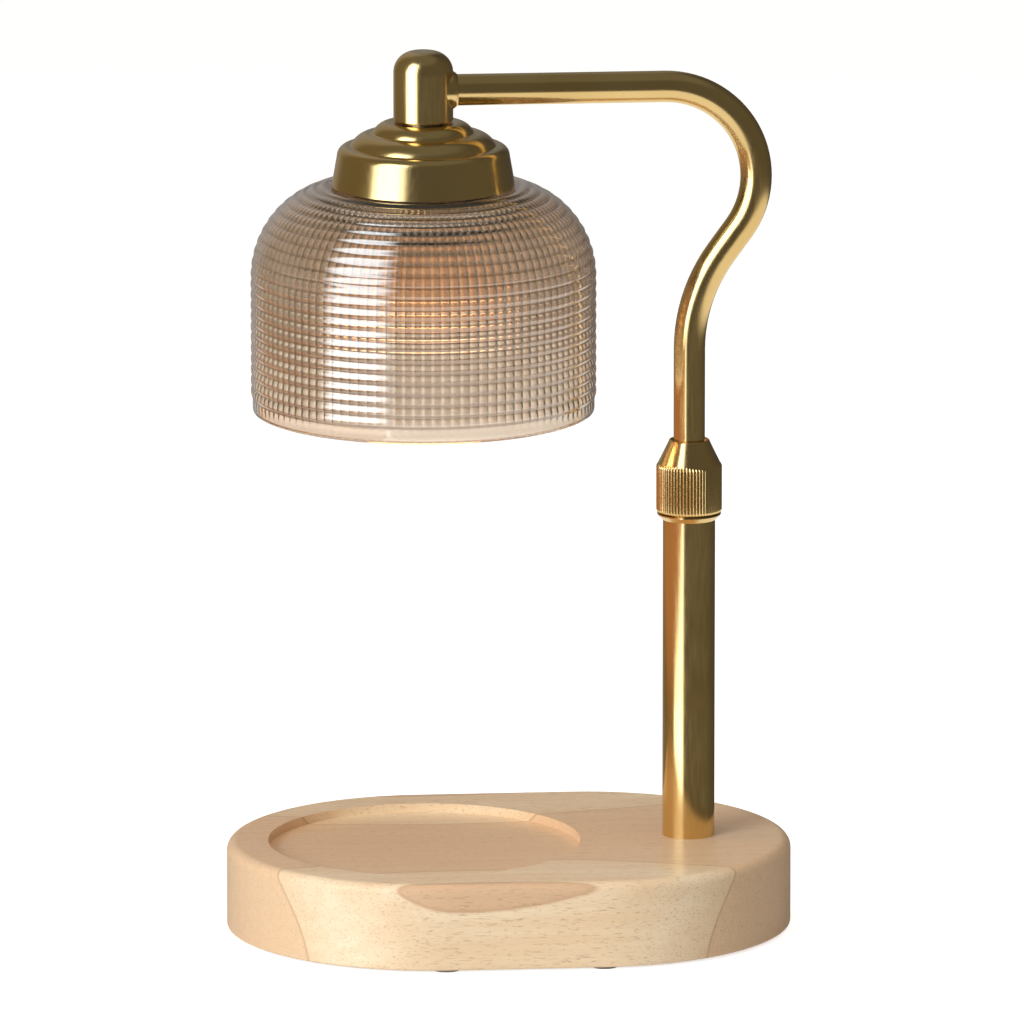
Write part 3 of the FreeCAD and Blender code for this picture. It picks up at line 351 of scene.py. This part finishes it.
def make_wood():
    """Varnished rubberwood: one wide growth line, a pinker lens at the front, and fine dark pores along X."""
    material, tree, output = new_material("wood_varnished")
    x, y, z = split(tree, position(tree))
    sway = noise(tree, position(tree, (4, 9, 9)), 1.6, 2)
    height = math_node(tree, "ADD", z, RING_DEPTH)
    radius = math_node(tree, "SQRT", math_node(tree, "ADD", math_node(tree, "MULTIPLY", y, y),
                                               math_node(tree, "MULTIPLY", height, height)))
    along = math_node(tree, "ADD", x, -RING_MIDDLE_X)
    curve = math_node(tree, "MULTIPLY", math_node(tree, "MULTIPLY", along, along), -RING_BEND)
    ring = math_node(tree, "ADD", math_node(tree, "ADD", radius, curve),
                     remap(tree, sway, NOISE_LOW, NOISE_HIGH, -RING_SWAY, RING_SWAY))
    colour = ramp(tree, remap(tree, ring, RING_INNER, RING_OUTER, 0, 1), RING_COLOURS)
    marks = {}
    for name, (stretch, scale, detail, roughness, low, high, most, tint) in WOOD_MARKS.items():
        marks[name] = noise(tree, position(tree, stretch), scale, detail, roughness)
        colour = mix_colour(tree, remap(tree, marks[name], low, high, 0, most), colour, tint)
    shader = principled(tree, Base_Color=colour, Coat_Weight=0.25, Coat_Roughness=0.22,
                        Roughness=remap(tree, marks["streak"], NOISE_LOW, NOISE_HIGH, 0.34, 0.5),
                        Normal=bump(tree, marks["dash"], 0.25, 0.00006))
    link(tree, shader, output.inputs["Surface"])
    return material


def make_brass():
    """Lacquered satin brass, its colour and gloss varying a little with the drawing marks."""
    material, tree, output = new_material("brass_satin")
    marks = noise(tree, position(tree, (60, 60, 4)), 22, 4)
    broad = noise(tree, position(tree), 18, 2)
    shader = principled(tree, Metallic=1.0,
                        Base_Color=ramp(tree, broad, [(NOISE_LOW, BRASS_DARK), (NOISE_HIGH, BRASS_LIGHT)]),
                        Roughness=remap(tree, marks, NOISE_LOW, NOISE_HIGH, 0.14, 0.22),
                        Normal=bump(tree, marks, 0.12, 0.00002))
    link(tree, shader, output.inputs["Surface"])
    return material


def make_glass():
    """Pressed glass with painted shade: browner the deeper a point lies in its grooves, standing in for the dark
    lattice that refraction gives. It also lets light straight through for shadows.
    """
    material, tree, output = new_material("glass_amber")
    depth = tree.nodes.new("ShaderNodeAttribute")
    depth.attribute_name = "painted_groove_shade"
    streaks = noise(tree, position(tree, (1, 1, 0.4)), 90, 2)
    # Painted shade: the glass turns browner with a point's depth in a groove, varied a little at random
    share = math_node(tree, "ADD", depth.outputs["Fac"],
                      remap(tree, streaks, NOISE_LOW, NOISE_HIGH, -0.06, 0.06), clamp=True)
    middle = tuple((crest + painted_groove_shade) / 2 for crest, painted_groove_shade in zip(GLASS_CREST, GLASS_GROOVE_SHADE))
    shader = principled(tree, Base_Color=ramp(tree, share, [(0.0, GLASS_CREST), (0.55, middle), (1.0, GLASS_GROOVE_SHADE)]),
                        Roughness=0.03, IOR=GLASS_IOR, Transmission_Weight=1.0,
                        Coat_Weight=1.0, Coat_Roughness=0.05, Coat_IOR=GLASS_COAT_IOR,
                        Normal=bump(tree, streaks, 0.05, 0.0002))
    clear = tree.nodes.new("ShaderNodeBsdfTransparent")
    feed(tree, GLASS_CREST, clear.inputs["Color"])
    path = tree.nodes.new("ShaderNodeLightPath")
    link(tree, mix_shader(tree, path.outputs["Is Shadow Ray"], shader, clear.outputs[0]), output.inputs["Surface"])
    return material


def grained(name, dark, light, rough, scale, depth=0.00004, **extra):
    """A finish whose colour, roughness and surface vary with a fine grain; rough is its middle roughness."""
    material, tree, output = new_material(name)
    where = position(tree)
    fine = noise(tree, where, scale, 4)
    broad = noise(tree, where, scale * GRAIN_BROAD, 2)
    share = math_node(tree, "ADD", math_node(tree, "MULTIPLY", fine, 0.5), math_node(tree, "MULTIPLY", broad, 0.5))
    gloss = remap(tree, fine, NOISE_LOW, NOISE_HIGH, rough - GRAIN_SPREAD, rough + GRAIN_SPREAD)
    shader = principled(tree, Base_Color=ramp(tree, share, [(NOISE_LOW, dark), (NOISE_HIGH, light)]),
                        Roughness=gloss, Normal=bump(tree, fine, 0.5, depth), **extra)
    link(tree, shader, output.inputs["Surface"])
    return material


wood = make_wood()
brass = make_brass()
amber_glass = make_glass()
materials = {
    "wood": wood,
    "brass": brass,
    "amber_glass": amber_glass,
    "inner_brass": grained("brass_turned", (0.62, 0.45, 0.2), (0.74, 0.56, 0.28), 0.32, 300, Metallic=1.0),
    "steel": grained("steel_zinced", (0.52, 0.53, 0.54), (0.68, 0.69, 0.7), 0.34, 320, Metallic=1.0),
    "black_plastic": grained("plastic_black", (0.014, 0.014, 0.015), (0.03, 0.03, 0.032), 0.45, 900, 0.00006),
    "nylon": grained("nylon_white", (0.66, 0.64, 0.58), (0.76, 0.74, 0.69), 0.5, 500),
    "rubber": grained("rubber_grey", (0.26, 0.24, 0.21), (0.36, 0.33, 0.29), 0.7, 800, 0.00008),
    "silicone": grained("silicone_clear", (0.55, 0.54, 0.5), (0.68, 0.67, 0.64), 0.45, 500),
    "lead": grained("lead_sheath", (0.02, 0.02, 0.021), (0.045, 0.045, 0.047), 0.5, 700, 0.00006),
    "ceramic": grained("ceramic_white", (0.74, 0.72, 0.68), (0.84, 0.83, 0.8), 0.3, 420),
    # The reflector's emission is painted light, for the lit capsule's light that it reflects
    "reflector": grained("reflector_glow", (0.75, 0.6, 0.42), (0.9, 0.76, 0.56), 0.2, 600, Metallic=1.0,
                         Emission_Color=(1.0, 0.50, 0.20), Emission_Strength=0.5),
    # The lit lens and capsule, which are opaque here
    "clear_glass": grained("lens_lit", (0.86, 0.82, 0.74), (0.95, 0.92, 0.86), 0.2, 400,
                           Emission_Color=(1.0, 0.56, 0.26), Emission_Strength=7.0),
}
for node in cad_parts.values():
    for place in node.material_slots:
        key = place.material.name.split(".")[0]
        place.material = materials[key]


# Turned meshes

def revolve(name, rows, centre_x, count, material, extra):
    """Sweeps a closed loop of (radius, height) rows round a vertical axis; extra adds to each radius by angle."""
    angles = np.arange(count) * (2 * math.pi / count)
    rows = np.asarray(rows, dtype=float)
    radii = rows[:, :1] + extra(angles)
    heights = np.repeat(rows[:, 1:2], count, axis=1)
    points = np.stack([centre_x + radii * np.cos(angles), radii * np.sin(angles), heights], axis=2).reshape(-1, 3)
    total = len(rows)
    faces = []
    for row in range(total):
        above = (row + 1) % total
        for step in range(count):
            after = (step + 1) % count
            faces.append((row * count + step, row * count + after, above * count + after, above * count + step))
    mesh = bpy.data.meshes.new(name)
    mesh.from_pydata(points.tolist(), [], faces)
    mesh.polygons.foreach_set("use_smooth", [True] * len(faces))
    mesh.materials.append(material)
    mesh.update()
    piece = bpy.data.objects.new(name, mesh)
    bpy.context.scene.collection.objects.link(piece)
    return piece


# Pressed glass shade: rings outside, flutes inside, a plain lip and a plain neck

SHADE_RIM = 0.2015
SHADE_TOP = 0.2885
SHADE_SIDE = 0.2536
SHADE_R = 0.065
SHADE_CROWN = 0.0315
SHADE_WALL = 0.003
SHADE_HOLE = 0.0204
HOLE_FLAT = 0.003
HOLE_EDGE = 0.0004
LIP_BAND = 0.006
LIP_EDGE = 0.0008
LIP_STEPS = 8
NECK_BAND = 0.005
NECK_EDGE = 0.002
RIB_COUNT = 23
RIB_DEPTH = 0.0007
RIB_FULLNESS = 0.75
RIB_STEPS = 6
FLUTE_COUNT = 108
FLUTE_DEPTH = 0.0011
FLUTE_LEVEL = 0.4
FLUTE_STEPS = 4
FLUTE_FADE_LOW = 0.002
FLUTE_FADE_HIGH = 0.004
INNER_STEPS = 26


def shade_point(distance, inset=0.0):
    """A point of the glass's outline at a distance up it from the rim, moved in by inset."""
    straight = SHADE_SIDE - SHADE_RIM
    wide = SHADE_R - SHADE_CROWN
    high = SHADE_TOP - SHADE_SIDE
    if distance <= straight:
        return SHADE_R - inset, SHADE_RIM + distance
    angle = min((distance - straight) / ((wide + high) / 2), math.pi / 2)
    return SHADE_CROWN + (wide - inset) * math.cos(angle), SHADE_SIDE + (high - inset) * math.sin(angle)


def make_shade():
    """The glass as one closed mesh, with painted shade in a point attribute: how deep each point lies in a rib's
    valley or a flute.
    """
    length = SHADE_SIDE - SHADE_RIM + math.pi / 4 * (SHADE_R - SHADE_CROWN + SHADE_TOP - SHADE_SIDE)
    ribbed = length - LIP_BAND - NECK_BAND
    lip = SHADE_WALL / 2
    rows = []
    for step in range(1, LIP_STEPS):
        angle = math.pi * (1 - step / LIP_STEPS)
        rows.append((SHADE_R - lip + lip * math.cos(angle), SHADE_RIM + lip - lip * math.sin(angle)))
    rows += [shade_point(lip), shade_point(LIP_BAND - LIP_EDGE)]

    # Painted shade for the glass: how deep each outer row lies in a rib's valley
    rib_valley_shade = {}
    for step in range(RIB_COUNT * RIB_STEPS + 1):
        share = step / RIB_STEPS
        bulge = abs(math.sin(math.pi * share)) ** RIB_FULLNESS
        rib_valley_shade[len(rows)] = 1 - bulge
        rows.append(shade_point(LIP_BAND + ribbed * share / RIB_COUNT, -bulge * RIB_DEPTH))

    rows += [shade_point(length - NECK_EDGE), (SHADE_CROWN, SHADE_TOP), (SHADE_HOLE + HOLE_FLAT, SHADE_TOP),
             (SHADE_HOLE, SHADE_TOP - HOLE_EDGE), (SHADE_HOLE, SHADE_TOP - SHADE_WALL + HOLE_EDGE),
             (SHADE_HOLE + HOLE_FLAT, SHADE_TOP - SHADE_WALL)]

    # How much of the flutes' depth each row has: none outside, and all of it inside but near the lip and neck
    fluted = [0] * len(rows)
    for step in range(INNER_STEPS + 1):
        distance = max(length * (1 - step / INNER_STEPS), lip)
        rows.append(shade_point(distance, SHADE_WALL))
        fluted.append(min(1.0, max(0.0, (distance - LIP_BAND) / FLUTE_FADE_LOW),
                          max(0.0, (length - FLUTE_FADE_HIGH - distance) / FLUTE_FADE_HIGH)))
    depth = np.array(fluted)[:, None]

    def flutes(angles):
        return depth * (np.abs(np.cos(angles * FLUTE_COUNT / 2)) - FLUTE_LEVEL) * FLUTE_DEPTH

    count = FLUTE_COUNT * FLUTE_STEPS
    shade = revolve("pressed_glass_shade", rows, HEAD_X, count, amber_glass, flutes)
    # Painted shade for the glass: the flutes' depth inside and the rib valleys' depth outside
    painted_groove_shade = depth * np.abs(np.cos(np.arange(count) * (math.pi * FLUTE_COUNT / count)))
    for row, value in rib_valley_shade.items():
        painted_groove_shade[row] = value
    marks = shade.data.attributes.new("painted_groove_shade", "FLOAT", "POINT")
    marks.data.foreach_set("value", painted_groove_shade.reshape(-1).astype(np.float32))
    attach(shade, "arm")
    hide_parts("glass_shade")


# Knurled collar

COLLAR_LOW = 0.1603
COLLAR_SHOULDER = 0.1791
COLLAR_TOP = 0.1884
COLLAR_R = 0.01255
COLLAR_SEAT_R = 0.00965
COLLAR_BORE_R = 0.0069
# Radius, height and how much of the knurls' depth there is, up the outside and then down the inside
COLLAR_OUTLINE = [
    (COLLAR_SEAT_R, COLLAR_LOW, 0), (0.0113, COLLAR_LOW, 0), (0.0118, COLLAR_LOW + 0.0001, 0.2),
    (0.01225, COLLAR_LOW + 0.0004, 0.6), (0.0125, COLLAR_LOW + 0.0009, 0.9),
    (COLLAR_R, COLLAR_LOW + 0.0013, 1), (COLLAR_R, COLLAR_LOW + 0.005, 1), (COLLAR_R, COLLAR_SHOULDER - 0.0012, 1),
    (0.01245, COLLAR_SHOULDER - 0.0006, 0.9), (0.0121, COLLAR_SHOULDER, 0.4),
    (0.01185, COLLAR_SHOULDER + 0.0004, 0), (0.01165, COLLAR_SHOULDER + 0.0008, 0), (0.0107, 0.1818, 0),
    (0.0093, 0.1847, 0), (0.0080, 0.1874, 0), (0.00785, 0.1878, 0), (0.0077, 0.1882, 0), (0.00745, COLLAR_TOP, 0),
    (0.0071, COLLAR_TOP, 0), (COLLAR_BORE_R, 0.1882, 0), (COLLAR_BORE_R, 0.1815, 0), (0.0076, 0.1814, 0),
    (0.0083, 0.1805, 0), (0.0084, 0.1724, 0), (COLLAR_SEAT_R, 0.1720, 0),
]
KNURLS = 60
KNURL_DEPTH = 0.00042
KNURL_STEPS = 8
CREASE = math.radians(50)


def make_collar():
    """The collar as one closed mesh: a fluted band, a smooth cone and a small flat top round the tube."""
    rows = [(radius, height) for radius, height, _ in COLLAR_OUTLINE]
    share = np.array([part for _, _, part in COLLAR_OUTLINE])[:, None]

    def knurls(angles):
        return -share * (1 - np.abs(np.sin(angles * KNURLS / 2))) * KNURL_DEPTH

    collar = revolve("knurled_collar", rows, POST_X, KNURLS * KNURL_STEPS, brass, knurls)
    collar.data.set_sharp_from_angle(angle=CREASE)
    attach(collar, "collar")
    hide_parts("collar_nut")


make_shade()
make_collar()

bpy.context.scene.view_settings.view_transform = "Standard"
